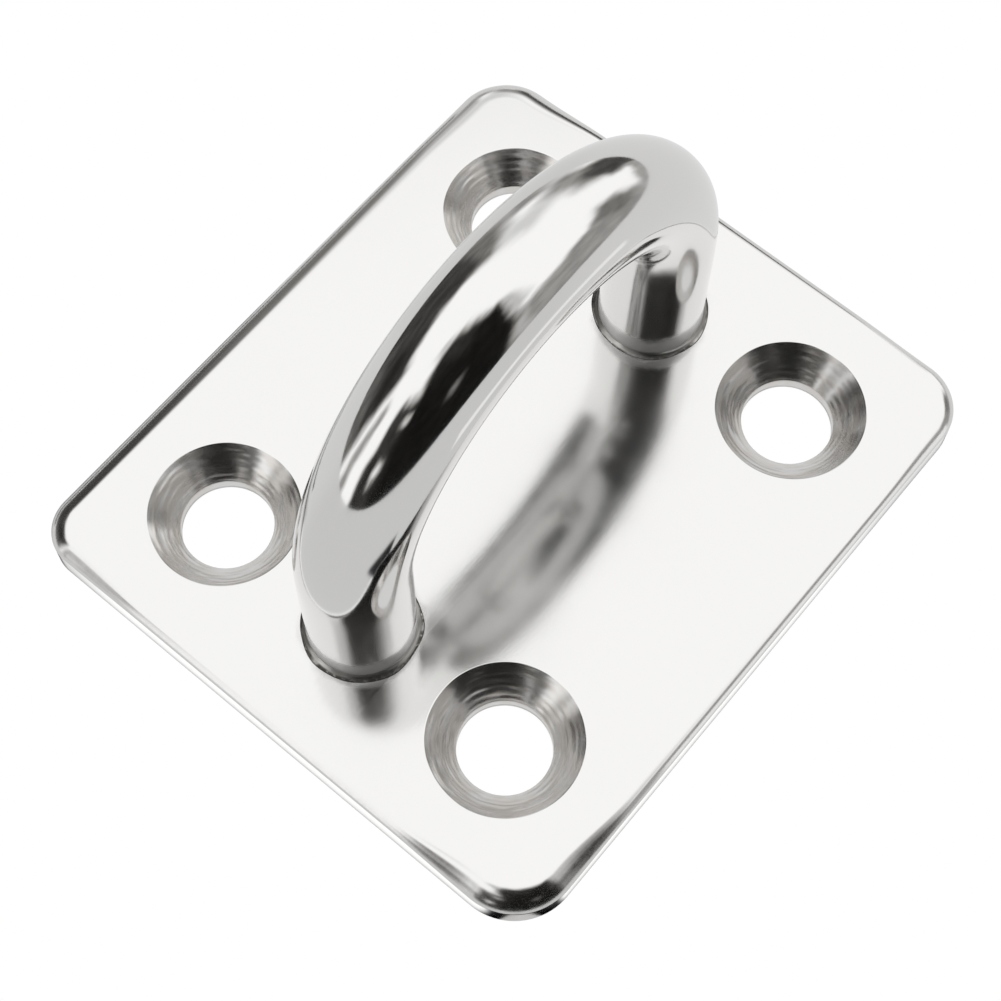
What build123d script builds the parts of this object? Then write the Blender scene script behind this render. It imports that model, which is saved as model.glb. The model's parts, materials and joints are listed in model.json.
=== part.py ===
"""Stainless pad eye: a rounded base plate with four countersunk screw holes and a
bent round-bar eye, whose two legs pass into the plate and are welded to it.

Units are millimetres. The origin is the centre of the plate's back face, the
mounting face. +X runs along the plate's long side, in the plane of the eye's
loop, +Y runs across the plate and +Z points out of the mounting surface.
"""

import os

from build123d import *

# ---- base plate -----------------------------------------------------------------
PLATE_LENGTH = 40.0
PLATE_WIDTH = 35.0
PLATE_THICKNESS = 2.5
PLATE_CORNER_RADIUS = 3.0
PLATE_TOP_ROUNDING = 1.4
PLATE_BACK_ROUNDING = 0.2

# ---- screw holes, for countersunk screws of 5 mm thread ---------------------------
SCREW_SPACING_X = 25.0
SCREW_SPACING_Y = 20.0
SCREW_HOLE_RADIUS = 2.6
COUNTERSINK_RADIUS = 4.25
COUNTERSINK_ANGLE = 90.0

# ---- eye bar: round bar bent to a half circle on two straight legs ----------------
BAR_RADIUS = 3.0
LEG_SPACING = 25.0
CROWN_HEIGHT = 20.5  # from the plate's top face to the bar's centre line at the crown
LEG_CLEARANCE = 0.05  # between a leg and its hole in the plate, all round

# ---- welds: a small fillet in front, and a plug ground flush behind each leg -------
BEAD_WIDTH = 0.4
BEAD_HEIGHT = 0.4
BEAD_HOLLOW_RADIUS = 0.5
WELD_DEPTH = 1.0  # from the plate's back face to the end of each leg
WELD_MOUTH_RADIUS = 4.0
WELD_EDGE_GROOVE = 0.1

# ---- worked out from the above ----------------------------------------------------
LEG_X = LEG_SPACING / 2
LEG_PLACES = [(-LEG_X, 0, 0), (LEG_X, 0, 0)]
LEG_HOLE_RADIUS = BAR_RADIUS + LEG_CLEARANCE
ARCH_CENTRE_Z = PLATE_THICKNESS + CROWN_HEIGHT - LEG_X
ON_THE_BACK = (Align.CENTER, Align.CENTER, Align.MIN)

os.makedirs("parts", exist_ok=True)

# ---- base plate, with four countersunk holes and two leg holes bevelled behind ------
with BuildPart() as base_plate:
    with BuildSketch(Plane.XY):
        RectangleRounded(PLATE_LENGTH, PLATE_WIDTH, PLATE_CORNER_RADIUS)
    extrude(amount=PLATE_THICKNESS)
    back_edges, *_, front_edges = base_plate.edges().group_by(Axis.Z)
    fillet(front_edges, radius=PLATE_TOP_ROUNDING)
    fillet(back_edges, radius=PLATE_BACK_ROUNDING)
    with Locations((0, 0, PLATE_THICKNESS)):
        with GridLocations(SCREW_SPACING_X, SCREW_SPACING_Y, 2, 2):
            CounterSinkHole(
                radius=SCREW_HOLE_RADIUS,
                counter_sink_radius=COUNTERSINK_RADIUS,
                counter_sink_angle=COUNTERSINK_ANGLE,
            )
    with Locations(*LEG_PLACES):
        Cylinder(LEG_HOLE_RADIUS, PLATE_THICKNESS, align=ON_THE_BACK, mode=Mode.SUBTRACT)
        Cone(
            WELD_MOUTH_RADIUS,
            LEG_HOLE_RADIUS,
            WELD_DEPTH,
            align=ON_THE_BACK,
            mode=Mode.SUBTRACT,
        )
base_plate.part.label = "base_plate"
export_step(base_plate.part, "parts/base_plate.step")

# ---- eye bar, swept along leg, half circle and leg ---------------------------------
with BuildPart() as eye_bar:
    with BuildLine(Plane.XZ):
        Line((-LEG_X, WELD_DEPTH), (-LEG_X, ARCH_CENTRE_Z))
        CenterArc((0, ARCH_CENTRE_Z), LEG_X, 180, -180)
        Line((LEG_X, ARCH_CENTRE_Z), (LEG_X, WELD_DEPTH))
    with BuildSketch(Plane.XY.offset(WELD_DEPTH)):
        with Locations((-LEG_X, 0)):
            Circle(BAR_RADIUS)
    sweep()
eye_bar.part.label = "eye_bar"
export_step(eye_bar.part, "parts/eye_bar.step")

# ---- welds of each foot -----------------------------------------------------------
for side, foot_x in (("left", -LEG_X), ("right", LEG_X)):
    with BuildPart() as foot_bead:
        with BuildSketch(Plane((foot_x, 0, PLATE_THICKNESS), x_dir=(1, 0, 0), z_dir=(0, -1, 0))):
            with BuildLine():
                up_the_leg = Line((BAR_RADIUS, 0), (BAR_RADIUS, BEAD_HEIGHT))
                along_the_plate = Line((BAR_RADIUS, 0), (BAR_RADIUS + BEAD_WIDTH, 0))
                RadiusArc(up_the_leg @ 1, along_the_plate @ 1, -BEAD_HOLLOW_RADIUS)
            make_face()
        revolve(axis=Axis((foot_x, 0, 0), (0, 0, 1)))
    foot_bead.part.label = f"{side}_foot_bead"
    export_step(foot_bead.part, f"parts/{side}_foot_bead.step")

    with BuildPart() as back_weld:
        with Locations((foot_x, 0, 0)):
            Cone(WELD_MOUTH_RADIUS, LEG_HOLE_RADIUS, WELD_DEPTH, align=ON_THE_BACK)
        chamfer(back_weld.edges().sort_by(Axis.Z)[0], length=WELD_EDGE_GROOVE)
    back_weld.part.label = f"{side}_back_weld"
    export_step(back_weld.part, f"parts/{side}_back_weld.step")
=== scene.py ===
"""Looks for the stainless pad eye: studio, camera, pieces and polished steel materials."""

import json
import math

import bmesh
import bpy
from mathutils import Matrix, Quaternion, Vector, noise
from mathutils.geometry import tessellate_polygon


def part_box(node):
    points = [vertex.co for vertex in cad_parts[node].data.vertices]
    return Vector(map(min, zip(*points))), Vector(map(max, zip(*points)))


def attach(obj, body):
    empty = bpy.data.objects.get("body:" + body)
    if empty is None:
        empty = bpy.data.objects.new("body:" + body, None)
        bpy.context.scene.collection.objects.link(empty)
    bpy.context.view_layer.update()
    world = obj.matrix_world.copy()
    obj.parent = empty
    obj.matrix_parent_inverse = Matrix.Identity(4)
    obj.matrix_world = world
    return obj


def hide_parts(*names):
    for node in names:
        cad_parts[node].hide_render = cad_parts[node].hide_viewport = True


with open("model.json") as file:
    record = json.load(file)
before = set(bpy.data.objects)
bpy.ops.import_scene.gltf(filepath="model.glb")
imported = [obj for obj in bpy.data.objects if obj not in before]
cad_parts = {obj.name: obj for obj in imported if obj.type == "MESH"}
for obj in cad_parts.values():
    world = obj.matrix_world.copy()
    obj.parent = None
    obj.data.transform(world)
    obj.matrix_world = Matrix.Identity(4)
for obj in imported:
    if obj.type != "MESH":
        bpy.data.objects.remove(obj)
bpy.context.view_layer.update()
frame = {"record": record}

MM = 0.001
MICRON = 0.001 * MM

# ---- sizes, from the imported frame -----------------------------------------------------
mounts = {mount["name"]: mount for mount in frame["record"]["mounts"]}
screw_dims = mounts["screw_holes"]["dims"]
SCREW_X = screw_dims["spacing_x_mm"] * MM / 2
SCREW_Y = screw_dims["spacing_y_mm"] * MM / 2
SCREW_HOLE = screw_dims["hole_r_mm"] * MM
PLATE_LOW, PLATE_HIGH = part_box("base_plate")
PLATE_TOP = PLATE_HIGH.z
BAR_LOW, BAR_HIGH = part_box("eye_bar")
BAR_RADIUS = (BAR_HIGH.y - BAR_LOW.y) / 2
LEG_X = BAR_HIGH.x - BAR_RADIUS
CROWN_Z = BAR_HIGH.z - BAR_RADIUS
BEAD_LOW, BEAD_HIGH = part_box("right_foot_bead")
BEAD_RADIUS = (BEAD_HIGH.x - BEAD_LOW.x) / 2
WELD_LOW, WELD_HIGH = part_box("right_back_weld")
WELD_RADIUS = (WELD_HIGH.x - WELD_LOW.x) / 2

# ---- finer sizes, which the frame doesn't give --------------------------------------------
COUNTERSINK = 4.25 * MM  # its radius at the plate's top
COUNTERSINK_SLOPE = math.pi / 4
CONE_STRETCH = math.sqrt(2)  # way down a countersink's face, for each bit of depth
WELD_MOUTH = 4.0 * MM  # radius of the bevel that a back weld fills, at the plate's back
LEG_CLEARANCE = 0.05 * MM
LEG_HOLE = BAR_RADIUS + LEG_CLEARANCE
BACK_ROUNDING = 0.2 * MM
RIM_ROUNDING = 0.12 * MM  # of a countersink's rim
BORE_BREAK = 0.12 * MM  # bevel of a screw hole, at the plate's back
EDGE_BREAK = 0.02 * MM  # bevel of a leg hole, at both its ends
# the plate's corners, anticlockwise from +X +Y: which side in x and y, corner radius, how far
# the polished edge rolls over there, and how far along the side that follows
CORNERS = (
    (1, 1, 3.2 * MM, 1.5 * MM, 1.25 * MM),
    (-1, 1, 2.5 * MM, 1.25 * MM, 0.8 * MM),
    (-1, -1, 3.6 * MM, 1.5 * MM, 0.8 * MM),
    (1, -1, 3.1 * MM, 1.1 * MM, 0.8 * MM),
)
EDGE_BEND = math.radians(57)  # how far the roll-over leans before its tighter outer bend
EDGE_TIP = 0.12 * MM  # the radius of that outer bend
CORNER_REACH = 5.5 * MM  # along a side, from a corner's roll-over to the side's own
RING_PITCH = 0.41 * MM  # between the turned rings of a countersink
RING_HEIGHT = 0.005 * MM
RING_FADE = 4  # loops over which the turned rings fade out, at the rim and at the bore
COUNTERSINK_BULGE = 0.03 * MM  # how far its turned face stands out, half-way down
BEND_EASE = 3.0 * MM  # along the bar, from straight leg to full bend
BEAD_HOLLOW = 0.55  # how much of a bead's section follows a hollow arc, not a straight bevel
BEAD_SIZE, BEAD_UNEVENNESS = 0.82, 0.35  # of the bead's full size: its average and its swing
GRINDING_DIP = 1.1 * MM  # across a dip that grinding left in a back weld
SEED_STEP = 5.0  # between the noise that the left and the right weld use

# ---- camera, at the photograph's viewing angle ------------------------------------------
CAMERA_AZIMUTH = 219.06  # from +X towards +Y, of the line from the object to the camera
CAMERA_ELEVATION = 66.81
CAMERA_ROLL = 0.85  # degrees, as the two above
CAMERA_DISTANCE = 118.1 * MM
CAMERA_TARGET = Vector((-2.2 * MM, -1.1 * MM, PLATE_TOP))
CAMERA_LENS = 77.3  # focal length in millimetres

# ---- colours, linear ------------------------------------------------------------------------
WHITE = (1, 1, 1, 1)
STEEL = (0.735, 0.73, 0.722, 1)
WARM_STEEL = (0.70, 0.675, 0.645, 1)
BEAD_STEEL = (0.62, 0.61, 0.59, 1)
BEAD_DARK = (0.10, 0.095, 0.085, 1)  # the darker colour of the bead's outer part, in patches
GROUND_STEEL = (0.66, 0.65, 0.63, 1)
HEAT_TINT = (0.56, 0.47, 0.36, 1)
DIM_TINT = (1.04, 1.0, 0.95, 1)  # of the dim things that the tent shows

# ---- light, in linear radiance ------------------------------------------------------------
TENT = 1.25  # the white light tent
TENT_RADIUS = 600 * MM
TENT_MIDDLE = Vector((0, 0, 10 * MM))
TENT_SWAY, TENT_LIFT = 12.0, 14.0  # degrees over which its folds shift what it shows
TABLE_SEEN = 1.0  # the white table, as the camera sees it
TABLE_SEEN_SIZE = 6.0
TABLE_SEEN_DROP = 0.05 * MM  # below the plate's back
TABLE_MIRRORED_DROP = 0.03 * MM
# low cards standing on the table: from and to in x and y, height and light
CARDS = {
    "front_card": (-5 * MM, -30 * MM, 28 * MM, -30 * MM, 5.5 * MM, 1.05),
    "right_card": (32 * MM, -12 * MM, 32 * MM, 20 * MM, 3.6 * MM, 0.80),
    # the back card gives off almost no light: a dark sheet of painted shade, for the shade on the
    # table behind the plate
    "back_shade_card": (-21 * MM, 24.5 * MM, 19 * MM, 24.5 * MM, 1.3 * MM, 0.1),
}
# the table as the steel mirrors it: its light beside the plate and further away, and how wide
# the part beside the plate is; then the middle azimuth, half width and softness, in degrees,
# of each side but the front, which is the rest
TABLE_NEAR = {"front": 1.28, "left_back": 0.14, "right_back": 0.85, "right": 0.95}
TABLE_FAR = {"front": 0.74, "left_back": 0.80, "right_back": 0.78, "right": 0.80}
TABLE_REACH = {"front": 1.6 * MM, "left_back": 4 * MM, "right_back": 2 * MM, "right": 1.5 * MM}
TABLE_SIDES = {
    "left_back": (112.0, 28.0, 12.0),
    "right_back": (66.0, 16.0, 12.0),
    "right": (350.0, 52.0, 14.0),
}
TABLE_UNDER_HOLES = 0.8  # its light as seen in the bores of the screw holes
TABLE_TOUCHING = 0.05  # the share of the table's light where it meets the plate
# the fan of shadow beyond the near corner, round the middle of that corner's arc: its middle
# azimuth, half width and softness, where it starts to fade, where it ends and its light
CORNER_ARC = CORNERS[2][2]
SHADOW_CENTRE = (PLATE_LOW.x + CORNER_ARC, PLATE_LOW.y + CORNER_ARC, 0)
SHADOW_FAN = (230.0, 35.0, 8.0)
SHADOW_CORE, SHADOW_REACH = 8 * MM, 12 * MM
SHADOW_LIGHT = 0.03

# What the tent shows for the steel to mirror: the room seen through its opening, and the
# things in it. Middle azimuth, half width, bottom, top, softness, all in degrees, and the
# light as a share of the tent's. Only the plate's back mirrors the three below.
ROOM = {
    "left_wall_edge": (68, 7, -8, 46, 8, 0.18),
    "left_wall": (105, 34, -8, 43, 6, 0.045),
    "left_wall_shade": (121, 12, 16, 38, 6, 0.022),
    "left_wall_foot": (119, 15, -8, 10, 6, 0.12),
    "tent_seam": (152, 5, -8, 36, 4, 0.33),
    "far_shelf": (31, 16, 2, 28, 8, 0.27),
    "far_shelf_top": (48, 14, 26, 50, 9, 0.66),
    "far_shelf_foot": (55, 9, -8, 13, 7, 0.30),
    "far_doorway": (20, 12, -8, 18, 4, 0.06),
    "far_floor_line": (356, 14, -8, 5, 3, 0.32),
    "opening": (191, 16, -8, 46, 4, 0.03),
    "opening_smear": (182, 10, 65, 74, 7, 0.50),
    "photographer": (241, 41, -8, 69, 6, 0.008),
    "photographer_shoulder": (232, 38, 50, 71, 9, 0.010),
    "photographer_head": (222, 27, 58, 76, 10, 0.025),
    "photographer_sleeve": (285, 4, 36, 66, 6, 0.50),
    "lamp_in_opening": (191, 4, 12, 21, 4, 0.85),
    "lamp_above_opening": (198, 5, 35, 39, 3, 0.70),
    "lens_glint": (247, 3, 27, 36, 4, 0.20),
    "right_wall": (313, 31, -8, 29, 4, 0.29),
    "right_wall_shade": (334, 8, 8, 27, 4, 0.15),
    "below": (0, 180, -99, -18, 8, 0.5),
    "below_left": (150, 42, -80, -24, 9, 0.2),
    "below_right": (320, 26, -70, -30, 9, 0.3),
}


# ---- meshes -------------------------------------------------------------------------------
class Shape:
    """The points and faces of one closed piece, gathered before they become a mesh."""

    def __init__(self):
        self.points = []
        self.faces = []
        self.unrolled = []  # for the bar: each point's place before the bar was bent

    def loop(self, points):
        """Adds the points and gives their numbers."""
        first = len(self.points)
        self.points += [Vector(point) for point in points]
        return list(range(first, len(self.points)))

    def bridge(self, loop, other):
        """Quads between two closed loops with as many points."""
        for i, point in enumerate(loop):
            j = (i + 1) % len(loop)
            self.faces.append((point, loop[j], other[j], other[i]))

    def skin(self, loops):
        """Quads from each loop to the next."""
        for loop, other in zip(loops, loops[1:]):
            self.bridge(loop, other)

    def cap(self, loop, centre):
        """Triangles from a loop to a point in its middle."""
        (middle,) = self.loop([centre])
        for i, point in enumerate(loop):
            self.faces.append((point, loop[(i + 1) % len(loop)], middle))

    def flat(self, loops):
        """Triangles filling the first loop, round the holes the other loops make."""
        order = [index for loop in loops for index in loop]
        for triangle in tessellate_polygon([[self.points[i] for i in loop] for loop in loops]):
            self.faces.append(tuple(order[i] for i in triangle))

    def build(self, name, stands_for, material):
        """The piece itself, smoothed by the area of the faces round each point."""
        mesh = bpy.data.meshes.new(name)
        mesh.from_pydata(self.points, [], self.faces)
        solid = bmesh.new()
        solid.from_mesh(mesh)
        bmesh.ops.recalc_face_normals(solid, faces=solid.faces)
        solid.to_mesh(mesh)
        solid.free()
        mesh.shade_smooth()
        if self.unrolled:
            attribute = mesh.attributes.new("unrolled", "FLOAT_VECTOR", "POINT")
            attribute.data.foreach_set("vector", [c for point in self.unrolled for c in point])
        weighted = [Vector() for _ in mesh.vertices]
        for face in mesh.polygons:
            for vertex in face.vertices:
                weighted[vertex] += face.normal * face.area
        mesh.normals_split_custom_set_from_vertices([n.normalized() for n in weighted])
        mesh.materials.append(material)
        piece = bpy.data.objects.new(name, mesh)
        bpy.context.scene.collection.objects.link(piece)
        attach(piece, "root")
        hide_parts(stands_for)
        return piece


def smooth(share):
    """Eases in and out, for a share from 0 to 1."""
    return share * share * (3 - 2 * share)


def circle(radius, z, count, x=0.0, y=0.0):
    """Points round a level circle whose centre is at x and y."""
    turns = (2 * math.pi * i / count for i in range(count))
    return [(x + radius * math.cos(t), y + radius * math.sin(t), z) for t in turns]


def plate_rim():
    """Points round the plate at its widest: place, outward direction and roll-over there."""
    corner_steps, side_steps = 20, 60
    rim = []
    for number, (side_x, side_y, radius, roll, side_roll) in enumerate(CORNERS):
        centre = Vector((side_x * (PLATE_HIGH.x - radius), side_y * (PLATE_HIGH.y - radius)))
        for step in range(corner_steps + 1):
            angle = math.pi / 2 * (number + step / corner_steps)
            outward = Vector((math.cos(angle), math.sin(angle)))
            rim.append((centre + outward * radius, outward, roll))
        next_x, next_y, next_radius, next_roll, _ = CORNERS[(number + 1) % len(CORNERS)]
        next_centre = Vector((
            next_x * (PLATE_HIGH.x - next_radius),
            next_y * (PLATE_HIGH.y - next_radius),
        ))
        start, end = rim[-1][0], next_centre + outward * next_radius
        for step in range(1, side_steps):
            at = start.lerp(end, step / side_steps)
            here = side_roll
            here += (roll - side_roll) * smooth(max(1 - (at - start).length / CORNER_REACH, 0))
            here += (next_roll - side_roll) * smooth(max(1 - (at - end).length / CORNER_REACH, 0))
            rim.append((at, outward, here))
    return rim


def ring_relief(depth, angle, hole):
    """How far a countersink's turned face stands off the true cone."""
    turns = depth / RING_PITCH
    bold = 0.35 + 1.1 * abs(noise.noise(Vector((turns * 0.9, hole * 7.3, 0.0))))
    round_x, round_y = math.cos(angle) * 2.5, math.sin(angle) * 2.5
    chatter = noise.noise(Vector((round_x, round_y, hole + turns * 0.4)))
    share = depth / ((COUNTERSINK - SCREW_HOLE) * CONE_STRETCH)
    bulge = COUNTERSINK_BULGE * math.sin(math.pi * min(share, 1.0))
    return bulge + RING_HEIGHT * (bold * math.sin(2 * math.pi * turns) + 1.2 * chatter)


def roll_profile(roll, tilt):
    """Inset and drop, from the plate's side and top, of the rolled edge where it leans by tilt."""
    bent, tip = min(tilt, EDGE_BEND), max(tilt, EDGE_BEND)
    radius = (roll - EDGE_TIP * (1 - math.sin(EDGE_BEND))) / math.sin(EDGE_BEND)
    inset = radius * (math.sin(EDGE_BEND) - math.sin(bent)) + EDGE_TIP * (1 - math.sin(tip))
    drop = radius * (1 - math.cos(bent)) + EDGE_TIP * (math.cos(EDGE_BEND) - math.cos(tip))
    return inset, drop


def plate_edge(shape):
    """The plate's side, from its back to its top; gives the loops that bound those two."""
    rim = plate_rim()
    loops = []
    back_steps, roll_steps = 4, 30
    for step in range(back_steps + 1):
        angle = math.pi / 2 * step / back_steps
        inset = BACK_ROUNDING * (1 - math.sin(angle))
        z = BACK_ROUNDING * (1 - math.cos(angle))
        loops.append(shape.loop([(*(at - out * inset), z) for at, out, _ in rim]))
    for step in range(roll_steps + 1):
        angle = math.pi / 2 * (1 - step / roll_steps)
        points = []
        for at, out, roll in rim:
            inset, drop = roll_profile(roll, angle)
            points.append((*(at - out * inset), PLATE_TOP - drop))
        loops.append(shape.loop(points))
    shape.skin(loops)
    return loops[0], loops[-1]


def countersunk_hole(shape, hole, x, y):
    """A screw hole with a turned countersink; gives its loops at the back and at the top."""
    around, rings, rim_steps = 160, 44, 4
    depth = COUNTERSINK - SCREW_HOLE
    tangent = RIM_ROUNDING * math.tan(COUNTERSINK_SLOPE / 2)
    loops = [shape.loop(circle(COUNTERSINK + tangent, PLATE_TOP, around, x, y))]
    for step in range(1, rim_steps):
        angle = COUNTERSINK_SLOPE * step / rim_steps
        radius = COUNTERSINK + tangent - RIM_ROUNDING * math.sin(angle)
        z = PLATE_TOP - RIM_ROUNDING * (1 - math.cos(angle))
        loops.append(shape.loop(circle(radius, z, around, x, y)))
    first = tangent * math.cos(COUNTERSINK_SLOPE)
    for ring in range(rings + 1):
        down = first + (depth - first) * ring / rings
        fade = min(ring / RING_FADE, (rings - ring) / RING_FADE, 1)
        points = []
        for i in range(around):
            angle = 2 * math.pi * i / around
            off = fade * ring_relief(down * CONE_STRETCH, angle, hole) / CONE_STRETCH
            radius = COUNTERSINK - down - off
            place = (x + radius * math.cos(angle), y + radius * math.sin(angle))
            points.append((*place, PLATE_TOP - down + off))
        loops.append(shape.loop(points))
    low = PLATE_TOP - depth
    for radius, z in (
        (SCREW_HOLE, (low + BORE_BREAK) / 2),
        (SCREW_HOLE, BORE_BREAK),
        (SCREW_HOLE + BORE_BREAK, 0),
    ):
        loops.append(shape.loop(circle(radius, z, around, x, y)))
    shape.skin(loops)
    return loops[-1], loops[0]


def leg_hole(shape, x):
    """A leg's hole, bevelled for the back weld; gives its loops at the back and at the top."""
    around = 96
    loops = [
        shape.loop(circle(radius, z, around, x))
        for radius, z in (
            (LEG_HOLE + EDGE_BREAK, PLATE_TOP),
            (LEG_HOLE, PLATE_TOP - EDGE_BREAK),
            (LEG_HOLE, BAR_LOW.z),
            (WELD_MOUTH - EDGE_BREAK, EDGE_BREAK),
            (WELD_MOUTH, 0),
        )
    ]
    shape.skin(loops)
    return loops[-1], loops[0]


def make_plate(material):
    shape = Shape()
    bounds = [plate_edge(shape)]
    for hole, (x, y) in enumerate(((1, 1), (-1, 1), (-1, -1), (1, -1))):
        bounds.append(countersunk_hole(shape, hole, x * SCREW_X, y * SCREW_Y))
    for x in (-LEG_X, LEG_X):
        bounds.append(leg_hole(shape, x))
    back, top = zip(*bounds)
    shape.flat(top)
    shape.flat(back)
    return shape.build("plate", "base_plate", material)


def bar_line():
    """The bar's centre line with its direction and length so far, from left foot to right."""
    steps, leg_steps = 140, 24
    bend = math.pi * LEG_X + BEND_EASE
    tightness = []
    for step in range(steps):
        along = (step + 0.5) / steps * bend
        tightness.append(smooth(min(along / BEND_EASE, (bend - along) / BEND_EASE, 1.0)))
    total = sum(tightness)
    heading, x, z = math.pi / 2, 0.0, 0.0
    arch = [(x, z, heading)]
    for tight in tightness:
        turn = math.pi * tight / total
        heading -= turn / 2
        x += math.cos(heading) * bend / steps
        z += math.sin(heading) * bend / steps
        heading -= turn / 2
        arch.append((x, z, heading))
    scale = 2 * LEG_X / x
    rise = max(point[1] for point in arch) * scale
    spring = CROWN_Z - rise
    leg = [BAR_LOW.z + (spring - BAR_LOW.z) * step / leg_steps for step in range(leg_steps)]
    line = [(-LEG_X, z, math.pi / 2) for z in leg]
    line += [(-LEG_X + x * scale, spring + z * scale, heading) for x, z, heading in arch]
    line += [(LEG_X, z, -math.pi / 2) for z in reversed(leg)]
    return line


def make_bar(material):
    """Round bar swept along its line, which also remembers the bar before it was bent."""
    shape = Shape()
    around = 128
    loops, far, last = [], 0.0, None
    for x, z, heading in bar_line():
        centre = Vector((x, 0, z))
        side = Vector((-math.sin(heading), 0, math.cos(heading)))
        far += (centre - last).length if last else 0.0
        last = centre
        points = []
        for i in range(around):
            turn = 2 * math.pi * i / around
            off = (BAR_RADIUS * math.cos(turn), BAR_RADIUS * math.sin(turn))
            points.append(centre + side * off[0] + Vector((0, off[1], 0)))
            shape.unrolled.append((*off, far))
        loops.append(shape.loop(points))
    shape.skin(loops)
    for loop, x, end in ((loops[0], -LEG_X, 0.0), (loops[-1], LEG_X, far)):
        shape.cap(loop, (x, 0, BAR_LOW.z))
        shape.unrolled.append((0, 0, end))
    return shape.build("bar", "eye_bar", material)


def make_bead(name, x, seed, material):
    """A small weld fillet, uneven in width and height, round one foot of the bar."""
    shape = Shape()
    around, steps = 144, 8
    widest, tallest = BEAD_RADIUS - BAR_RADIUS, BEAD_HIGH.z - PLATE_TOP
    loops = []
    for step in range(steps + 1):
        share = step / steps
        bend = math.pi / 2 * share
        out = 1 - BEAD_HOLLOW * math.cos(bend) - (1 - BEAD_HOLLOW) * (1 - share)
        up = 1 - BEAD_HOLLOW * math.sin(bend) - (1 - BEAD_HOLLOW) * share
        points = []
        for i in range(around):
            angle = 2 * math.pi * i / around
            uneven = noise.noise(Vector((math.cos(angle) * 1.6, math.sin(angle) * 1.6, seed)))
            size = min(BEAD_SIZE + BEAD_UNEVENNESS * uneven, 1.0)
            radius = BAR_RADIUS + widest * size * out
            place = (x + radius * math.cos(angle), radius * math.sin(angle))
            points.append((*place, PLATE_TOP + tallest * size * up))
        loops.append(shape.loop(points))
    loops.append(shape.loop(circle(BAR_RADIUS, PLATE_TOP, around, x)))
    shape.skin(loops + loops[:1])
    return shape.build(name, name, material)


def make_back_weld(name, x, seed, material):
    """Weld metal behind one leg, ground back until it is nearly flush with the plate."""
    shape = Shape()
    around, steps = 96, 14
    groove = WELD_MOUTH - WELD_RADIUS
    loops = [shape.loop(circle(LEG_HOLE, WELD_HIGH.z, around, x))]
    loops.append(shape.loop(circle(WELD_RADIUS, groove, around, x)))
    for step in range(steps):
        share = 1 - step / steps
        points = []
        for i in range(around):
            angle = 2 * math.pi * i / around
            radius = (WELD_RADIUS - groove) * share
            place = Vector((radius * math.cos(angle), radius * math.sin(angle)))
            dip = noise.noise(Vector((place.x / GRINDING_DIP, place.y / GRINDING_DIP, seed)))
            up = groove / 2 * max(dip, 0) * smooth(1 - share)
            points.append((x + place.x, place.y, up))
        loops.append(shape.loop(points))
    shape.skin(loops)
    shape.cap(loops[0], (x, 0, WELD_HIGH.z))
    shape.cap(loops[-1], (x, 0, 0))
    return shape.build(name, name, material)


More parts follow.
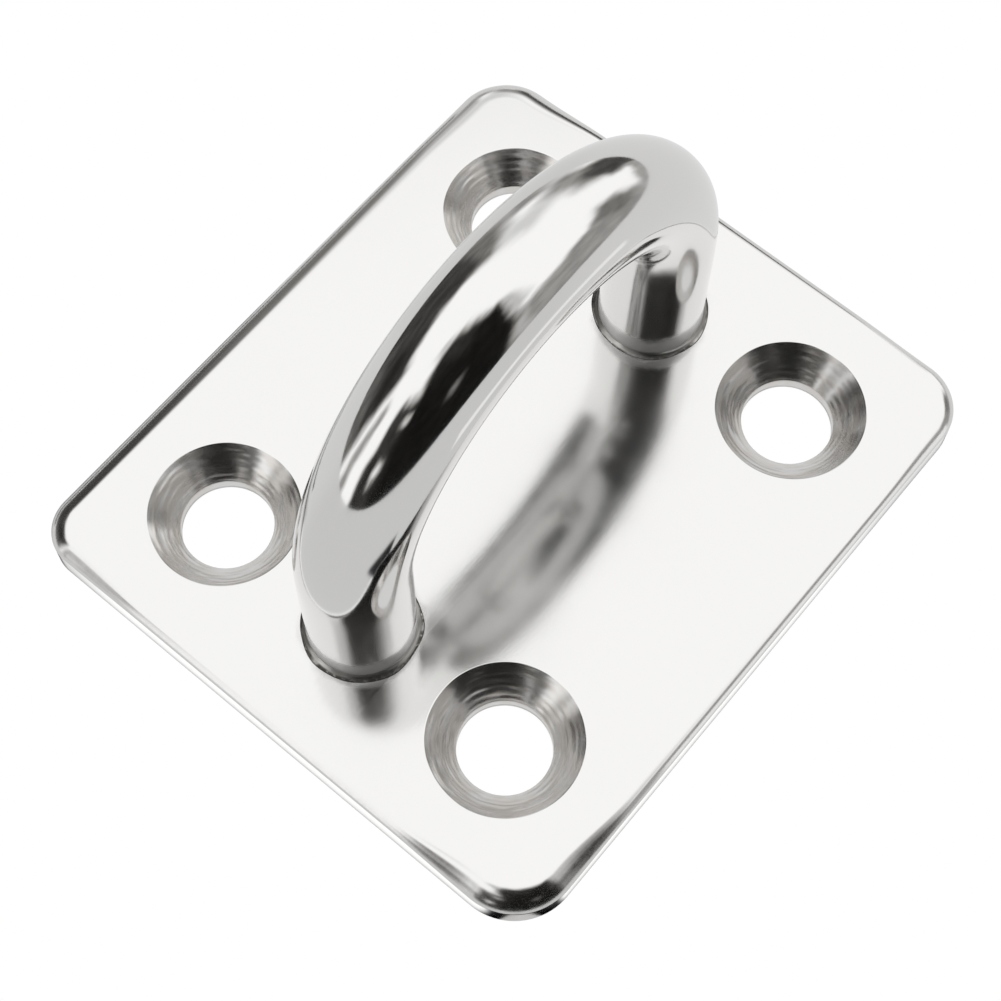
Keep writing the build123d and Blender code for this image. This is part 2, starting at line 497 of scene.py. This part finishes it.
# ---- shader nodes -------------------------------------------------------------------------
class Nodes:
    """Short ways to add shader nodes to a tree and join them."""

    def __init__(self, owner):
        owner.use_nodes = True
        self.tree = owner.node_tree
        self.tree.nodes.clear()

    def add(self, kind, settings=None, **inputs):
        """A shader node; each input is a number, a colour or another node's output."""
        node = self.tree.nodes.new("ShaderNode" + kind)
        for name, value in (settings or {}).items():
            setattr(node, name, value)
        for name, value in inputs.items():
            self.feed(node.inputs[name.replace("_", " ")], value)
        return node

    def feed(self, socket, value):
        if isinstance(value, bpy.types.NodeSocket):
            self.tree.links.new(value, socket)
        else:
            socket.default_value = value

    def math(self, operation, *values):
        node = self.add("Math", {"operation": operation})
        for socket, value in zip(node.inputs, values):
            self.feed(socket, value)
        return node.outputs[0]

    def total(self, *values):
        result = values[0]
        for value in values[1:]:
            result = self.math("ADD", result, value)
        return result

    def times(self, *values):
        result = values[0]
        for value in values[1:]:
            result = self.math("MULTIPLY", result, value)
        return result

    def vector(self, operation, *values):
        node = self.add("VectorMath", {"operation": operation})
        for socket, value in zip(node.inputs, values):
            self.feed(socket, value)
        return node.outputs["Value" if operation == "LENGTH" else "Vector"]

    def split(self, vector):
        return self.add("SeparateXYZ", Vector=vector).outputs[:3]

    def join(self, x, y, z=0.0):
        return self.add("CombineXYZ", X=x, Y=y, Z=z).outputs[0]

    def step(self, value, low, high, a=0.0, b=1.0):
        """a below low, b above high and a smooth change between."""
        node = self.add("MapRange", {"interpolation_type": "SMOOTHSTEP"})
        for socket, given in zip(node.inputs, (value, low, high, a, b)):
            self.feed(socket, given)
        return node.outputs[0]

    def sector(self, turn, middle, half, soft):
        """1 where an angle in degrees is within half of the middle, 0 elsewhere."""
        away = self.math("WRAP", self.math("SUBTRACT", turn, float(middle)), 180.0, -180.0)
        return self.step(self.math("ABSOLUTE", away), half - soft, half + soft, 1.0, 0.0)

    def noise(self, place, size, detail=2.0, roughness=0.5):
        """Noise from 0 to 1 whose lumps are about size across, in each direction if given."""
        if isinstance(size, tuple):
            place = self.vector("MULTIPLY", place, tuple(1 / s for s in size))
            size = 1.0
        node = self.add("TexNoise", Vector=place, Scale=1 / size, Detail=detail)
        node.inputs["Roughness"].default_value = roughness
        return node.outputs["Fac"]

    def mix(self, share, a, b):
        node = self.add("Mix", {"data_type": "FLOAT"})
        for socket, value in zip((node.inputs[0], node.inputs[2], node.inputs[3]), (share, a, b)):
            self.feed(socket, value)
        return node.outputs[0]

    def colour(self, share, a, b):
        node = self.add("Mix", {"data_type": "RGBA"})
        for socket, value in zip((node.inputs[0], node.inputs[6], node.inputs[7]), (share, a, b)):
            self.feed(socket, value)
        return node.outputs[2]

    def swing(self, value, amount):
        """Turns 0 to 1 into an amount that swings as far below 0 as above it."""
        return self.times(self.math("SUBTRACT", value, 0.5), amount)

    def relief(self, *layers):
        """A normal bumped by each layer's height, from 0 to 1, times its depth."""
        normal = None
        for height, depth in layers:
            node = self.add("Bump", Height=height, Strength=1.0, Distance=depth)
            if normal:
                self.feed(node.inputs["Normal"], normal)
            normal = node.outputs[0]
        return normal

    def glow(self, light, colour=WHITE):
        return self.add("Emission", Color=colour, Strength=light).outputs[0]

    def glow_upwards(self, light, gap=0.0):
        """A white glow on a sheet's upper side, except in a gap; from below it isn't there."""
        glow = self.glow(light)
        clear = self.add("BsdfTransparent")
        below = self.add("NewGeometry").outputs["Backfacing"]
        shader = self.add("MixShader", Fac=self.math("MAXIMUM", below, gap))
        self.feed(shader.inputs[1], glow)
        self.feed(shader.inputs[2], clear.outputs[0])
        self.add("OutputMaterial", Surface=shader.outputs[0])

    def steel(self, colour, roughness, normal):
        shader = self.add("BsdfPrincipled", Metallic=1.0, Roughness=roughness, Normal=normal)
        self.feed(shader.inputs["Base Color"], colour)
        self.add("OutputMaterial", Surface=shader.outputs[0])


def foot_distance(nodes, place):
    """Distance from the nearer leg's centre line."""
    x, y, _ = nodes.split(place)
    away_x = nodes.math("SUBTRACT", nodes.math("ABSOLUTE", x), LEG_X)
    return nodes.vector("LENGTH", nodes.join(away_x, y))


def screw_offset(nodes, place):
    """Sideways offset from the nearest screw hole, mirrored to be alike at all four."""
    x, y, _ = nodes.split(place)
    away_x = nodes.math("SUBTRACT", nodes.math("ABSOLUTE", x), SCREW_X)
    away_y = nodes.math("SUBTRACT", nodes.math("ABSOLUTE", y), SCREW_Y)
    return nodes.join(away_x, away_y)


def plate_material():
    """Polished, but turned in the countersinks, dull by the welds and plainly ground behind."""
    material = bpy.data.materials.new("polished_plate")
    nodes = Nodes(material)
    place = nodes.add("TexCoord").outputs["Object"]
    _, _, z = nodes.split(place)
    offset = screw_offset(nodes, place)
    from_screw = nodes.vector("LENGTH", offset)
    patchy = nodes.noise(place, 1.2 * MM, 3.0)
    ragged = nodes.noise(place, 0.35 * MM, 3.0)
    smudge = nodes.step(nodes.noise(place, 5 * MM, 4.0), 0.35, 0.75)

    # where each finish is
    rolled = nodes.step(z, PLATE_TOP - 0.3 * MM, PLATE_TOP, 1.0, 0.0)
    by_weld = nodes.total(foot_distance(nodes, place), nodes.swing(patchy, 1.1 * MM))
    unpolished = nodes.step(by_weld, BAR_RADIUS + 0.2 * MM, BAR_RADIUS + 0.7 * MM, 1.0, 0.0)
    back = nodes.step(z, 0.1 * MM, 0.3 * MM, 1.0, 0.0)
    turned = nodes.step(from_screw, COUNTERSINK - 0.05 * MM, COUNTERSINK, 1.0, 0.0)
    turned = nodes.times(turned, nodes.math("SUBTRACT", 1.0, back))

    roughness = nodes.mix(smudge, 0.10, 0.14)
    for finish, its_own in (
        (rolled, nodes.mix(ragged, 0.12, 0.26)),
        (unpolished, 0.3),
        (turned, nodes.mix(patchy, 0.17, 0.31)),
        (back, nodes.mix(patchy, 0.26, 0.38)),
    ):
        roughness = nodes.mix(finish, roughness, its_own)

    # noise drawn out round each countersink, and different in each of them
    around = nodes.vector("MULTIPLY", nodes.vector("NORMALIZE", offset), (2.2, 2.2, 0))
    which = nodes.vector("MULTIPLY", nodes.vector("SIGN", place), (9, 5, 0))
    outwards = nodes.join(0.0, 0.0, nodes.times(nodes.times(from_screw, 1 / MM), 2.6))
    lathe = nodes.vector("ADD", nodes.vector("ADD", around, which), outwards)
    facets = nodes.noise(lathe, 1.0, 1.0, 0.45)
    rings = nodes.noise(nodes.vector("MULTIPLY", lathe, (0.25, 0.25, 2.6)), 1.0, 2.0)

    swell = nodes.noise(place, 4.5 * MM, 1.0)
    grain = nodes.noise(place, (0.22 * MM, 0.13 * MM, 0.2 * MM), 2.0, 0.6)
    hairs = nodes.noise(place, (2.4 * MM, 0.06 * MM, 0.3 * MM), 2.0, 0.6)
    normal = nodes.relief(
        (swell, 1.6 * MICRON),
        (grain, nodes.mix(turned, 0.55 * MICRON, 0.0)),
        (hairs, nodes.mix(back, 0.22 * MICRON, 0.9 * MICRON)),
        (rings, nodes.mix(turned, 0.0, 1.2 * MICRON)),
        (facets, nodes.mix(turned, 0.0, 42 * MICRON)),
    )
    stain = nodes.times(turned, nodes.step(facets, 0.35, 0.6), 0.9)
    nodes.steel(nodes.colour(stain, STEEL, WARM_STEEL), roughness, normal)
    return material


def bar_material():
    """Polished along the bar, and left dull at its feet, where a polishing wheel can't reach."""
    material = bpy.data.materials.new("polished_bar")
    nodes = Nodes(material)
    _, _, z = nodes.split(nodes.add("TexCoord").outputs["Object"])
    along = nodes.add("Attribute", {"attribute_name": "unrolled"}).outputs["Vector"]
    patchy = nodes.noise(along, 1.1 * MM, 3.0)
    smudge = nodes.step(nodes.noise(along, (2.5 * MM, 2.5 * MM, 6 * MM), 4.0), 0.35, 0.7)
    height = nodes.total(z, nodes.swing(patchy, 0.7 * MM))
    unpolished = nodes.step(height, PLATE_TOP + 1.2 * MM, PLATE_TOP + 2.2 * MM, 1.0, 0.0)
    leg = nodes.step(z, PLATE_TOP + 7 * MM, PLATE_TOP + 13 * MM, 1.0, 0.0)
    roughness = nodes.total(nodes.mix(smudge, 0.06, 0.11), nodes.times(leg, 0.025))
    roughness = nodes.mix(unpolished, roughness, 0.55)

    swell = nodes.noise(along, (2.2 * MM, 2.2 * MM, 5 * MM), 1.0)
    lumps = nodes.noise(along, (0.5 * MM, 0.5 * MM, 0.9 * MM), 3.0, 0.55)
    lines = nodes.noise(along, (0.16 * MM, 0.16 * MM, 4 * MM), 3.0, 0.6)
    normal = nodes.relief((swell, 4 * MICRON), (lumps, 0.9 * MICRON), (lines, 0.7 * MICRON))
    nodes.steel(STEEL, roughness, normal)
    return material


def bead_material():
    """Weld metal, a little dark all over and darker and duller in patches along its outer part,
    where it meets the plate.
    """
    material = bpy.data.materials.new("polished_weld")
    nodes = Nodes(material)
    place = nodes.add("TexCoord").outputs["Object"]
    from_foot = foot_distance(nodes, place)
    patchy = nodes.noise(place, 1.3 * MM, 3.0)
    spots = nodes.noise(place, 0.25 * MM, 3.0)
    # the bead is made darker and duller in patches round its outer part, by the plate, and a
    # little all over
    dark_patches = nodes.times(nodes.step(patchy, 0.3, 0.55), nodes.step(spots, 0.2, 0.5))
    outer = nodes.step(from_foot, BAR_RADIUS + 0.1 * MM, BAR_RADIUS + 0.24 * MM)
    dark_and_dull = nodes.math("MAXIMUM", nodes.times(dark_patches, outer), 0.12)
    colour = nodes.colour(dark_and_dull, BEAD_STEEL, BEAD_DARK)
    nodes.steel(colour, nodes.mix(dark_and_dull, 0.25, 0.5), nodes.relief((spots, 6 * MICRON)))
    return material


def back_weld_material():
    """Weld metal with slanting grinding marks and a heat tint towards its rim."""
    material = bpy.data.materials.new("ground_weld")
    nodes = Nodes(material)
    place = nodes.add("TexCoord").outputs["Object"]
    x, y, _ = nodes.split(place)
    along = nodes.total(nodes.times(x, 0.8), nodes.times(y, 0.6))
    across = nodes.total(nodes.times(x, -0.6), nodes.times(y, 0.8))
    grooves = nodes.noise(nodes.join(along, across), (3 * MM, 0.12 * MM, 1 * MM), 3.0, 0.6)
    patchy = nodes.noise(place, 1.0 * MM, 3.0)
    rim = nodes.step(foot_distance(nodes, place), 2.4 * MM, WELD_MOUTH)
    colour = nodes.colour(nodes.times(rim, patchy), GROUND_STEEL, HEAT_TINT)
    nodes.steel(colour, nodes.mix(grooves, 0.28, 0.45), nodes.relief((grooves, 5 * MICRON)))
    return material


# ---- studio -------------------------------------------------------------------------------
def make_camera():
    """Looks at the target from the photograph's side."""
    camera = bpy.data.objects.new("camera", bpy.data.cameras.new("camera"))
    bpy.context.scene.collection.objects.link(camera)
    azimuth, elevation = math.radians(CAMERA_AZIMUTH), math.radians(CAMERA_ELEVATION)
    back = Vector((
        math.cos(azimuth) * math.cos(elevation),
        math.sin(azimuth) * math.cos(elevation),
        math.sin(elevation),
    ))
    camera.location = CAMERA_TARGET + back * CAMERA_DISTANCE
    camera.rotation_mode = "QUATERNION"
    roll = Quaternion((0, 0, 1), math.radians(CAMERA_ROLL))
    camera.rotation_quaternion = (-back).to_track_quat("-Z", "Y") @ roll
    camera.data.lens = CAMERA_LENS
    camera.data.clip_start = 1 * MM
    camera.data.clip_end = 100.0
    bpy.context.scene.camera = camera


def stage_piece(name, mesh, material, camera_sees):
    """Part of the studio, seen either by the camera or only in the steel."""
    mesh.materials.append(material)
    piece = bpy.data.objects.new(name, mesh)
    bpy.context.scene.collection.objects.link(piece)
    piece.visible_camera = camera_sees
    piece.visible_glossy = piece.visible_diffuse = not camera_sees
    piece.visible_shadow = False
    material.cycles.emission_sampling = "NONE"
    return piece


def square(name, side):
    """A level sheet round the origin."""
    mesh = bpy.data.meshes.new(name)
    half = side / 2
    corners = [(-half, -half, 0), (half, -half, 0), (half, half, 0), (-half, half, 0)]
    mesh.from_pydata(corners, [], [(0, 1, 2, 3)])
    return mesh


def make_background():
    """A plain white room and table top, which only the camera sees."""
    world = bpy.data.worlds.new("white_room")
    nodes = Nodes(world)
    background = nodes.add("Background", Color=WHITE, Strength=TABLE_SEEN)
    nodes.add("OutputWorld", Surface=background.outputs[0])
    bpy.context.scene.world = world
    material = bpy.data.materials.new("table_top")
    nodes = Nodes(material)
    nodes.glow_upwards(TABLE_SEEN)
    table = stage_piece("table_top", square("table_top", TABLE_SEEN_SIZE), material, True)
    table.location.z = PLATE_LOW.z - TABLE_SEEN_DROP


def make_mirrored_table():
    """The table as the steel mirrors it: dark where it touches the plate, with a light of its
    own beside it on each side, a fan of shadow at the near corner, bright under the screw holes
    and missing under the rest of the plate, so that the plate's back has something to mirror."""
    material = bpy.data.materials.new("mirrored_table")
    nodes = Nodes(material)
    place = nodes.add("TexCoord").outputs["Object"]
    x, y, _ = nodes.split(place)
    out_x = nodes.math("SUBTRACT", nodes.math("ABSOLUTE", x), PLATE_HIGH.x)
    out_y = nodes.math("SUBTRACT", nodes.math("ABSOLUTE", y), PLATE_HIGH.y)
    beside = nodes.math("MAXIMUM", out_x, out_y)
    turn = nodes.math("DEGREES", nodes.math("ARCTAN2", y, x))
    near, far, reach = TABLE_NEAR["front"], TABLE_FAR["front"], TABLE_REACH["front"]
    for name, side in TABLE_SIDES.items():
        there = nodes.sector(turn, *side)
        near = nodes.mix(there, near, TABLE_NEAR[name])
        far = nodes.mix(there, far, TABLE_FAR[name])
        reach = nodes.mix(there, reach, TABLE_REACH[name])
    away = nodes.step(beside, nodes.times(reach, 0.3), nodes.times(reach, 1.3))
    light = nodes.mix(away, near, far)

    from_centre = nodes.vector("SUBTRACT", nodes.join(x, y), SHADOW_CENTRE)
    fan_x, fan_y, _ = nodes.split(from_centre)
    fan = nodes.sector(nodes.math("DEGREES", nodes.math("ARCTAN2", fan_y, fan_x)), *SHADOW_FAN)
    length = nodes.vector("LENGTH", from_centre)
    reached = nodes.step(length, SHADOW_CORE, SHADOW_REACH, 1.0, 0.0)
    shade = nodes.step(nodes.times(fan, reached), 0.0, 1.0, 1.0, SHADOW_LIGHT)
    touch = nodes.step(beside, -0.1 * MM, 0.22 * MM, TABLE_TOUCHING, 1.0)
    light = nodes.times(light, shade, touch)

    from_screw = nodes.vector("LENGTH", screw_offset(nodes, place))
    under = nodes.step(from_screw, SCREW_HOLE - 0.1 * MM, SCREW_HOLE + 0.2 * MM, 1.0, 0.0)
    light = nodes.mix(under, light, TABLE_UNDER_HOLES)
    gap = nodes.step(beside, -0.4 * MM, -0.3 * MM, 1.0, 0.0)
    gap = nodes.math("SUBTRACT", gap, under)
    nodes.glow_upwards(light, gap)
    sheet = square("mirrored_table", 4 * TENT_RADIUS)
    table = stage_piece("mirrored_table", sheet, material, False)
    table.location.z = PLATE_LOW.z - TABLE_MIRRORED_DROP


def make_tent():
    """A white light tent, with the darker room that its opening shows, for the steel to mirror."""
    mesh = bpy.data.meshes.new("tent")
    dome = bmesh.new()
    bmesh.ops.create_uvsphere(dome, u_segments=96, v_segments=48, radius=TENT_RADIUS)
    dome.to_mesh(mesh)
    dome.free()
    material = bpy.data.materials.new("tent")
    nodes = Nodes(material)
    way = nodes.vector("NORMALIZE", nodes.add("TexCoord").outputs["Object"])
    x, y, z = nodes.split(way)
    sway = nodes.swing(nodes.noise(way, 0.25, 4.0), TENT_SWAY)
    lift = nodes.swing(nodes.noise(way, 0.2, 4.0), TENT_LIFT)
    azimuth = nodes.total(nodes.math("DEGREES", nodes.math("ARCTAN2", y, x)), sway)
    elevation = nodes.total(nodes.math("DEGREES", nodes.math("ARCSINE", z)), lift)
    level = 1.0
    for middle, half, bottom, top, soft, share in ROOM.values():
        across = nodes.sector(azimuth, middle, half, soft)
        under = nodes.step(elevation, top - soft, top + soft, 1.0, 0.0)
        over = nodes.step(elevation, bottom - soft, bottom + soft)
        level = nodes.mix(nodes.times(across, under, over), level, share)
    mottle = nodes.step(nodes.noise(way, 0.12, 4.0), 0.3, 0.7, 0.75, 1.3)
    dim = nodes.step(level, 0.0, 0.7, 1.0, 0.0)
    level = nodes.times(level, nodes.mix(dim, 1.0, mottle), TENT)
    nodes.add("OutputMaterial", Surface=nodes.glow(level, nodes.colour(dim, WHITE, DIM_TINT)))
    stage_piece("tent", mesh, material, False).location = TENT_MIDDLE


def make_card(name, from_x, from_y, to_x, to_y, height, light):
    """An upright card on the table, which only the steel sees."""
    mesh = bpy.data.meshes.new(name)
    low = [(from_x, from_y, 0), (to_x, to_y, 0)]
    high = [(to_x, to_y, height), (from_x, from_y, height)]
    mesh.from_pydata(low + high, [], [(0, 1, 2, 3)])
    material = bpy.data.materials.new(name)
    nodes = Nodes(material)
    nodes.add("OutputMaterial", Surface=nodes.glow(light))
    stage_piece(name, mesh, material, False)


make_camera()
make_background()
make_mirrored_table()
make_tent()
for name, card in CARDS.items():
    make_card(name, *card)
make_plate(plate_material())
make_bar(bar_material())
weld, ground = bead_material(), back_weld_material()
for seed, (side, x) in enumerate((("left", -LEG_X), ("right", LEG_X))):
    make_bead(f"{side}_foot_bead", x, seed * SEED_STEP, weld)
    make_back_weld(f"{side}_back_weld", x, seed * SEED_STEP, ground)

bpy.context.scene.view_settings.view_transform = "Standard"
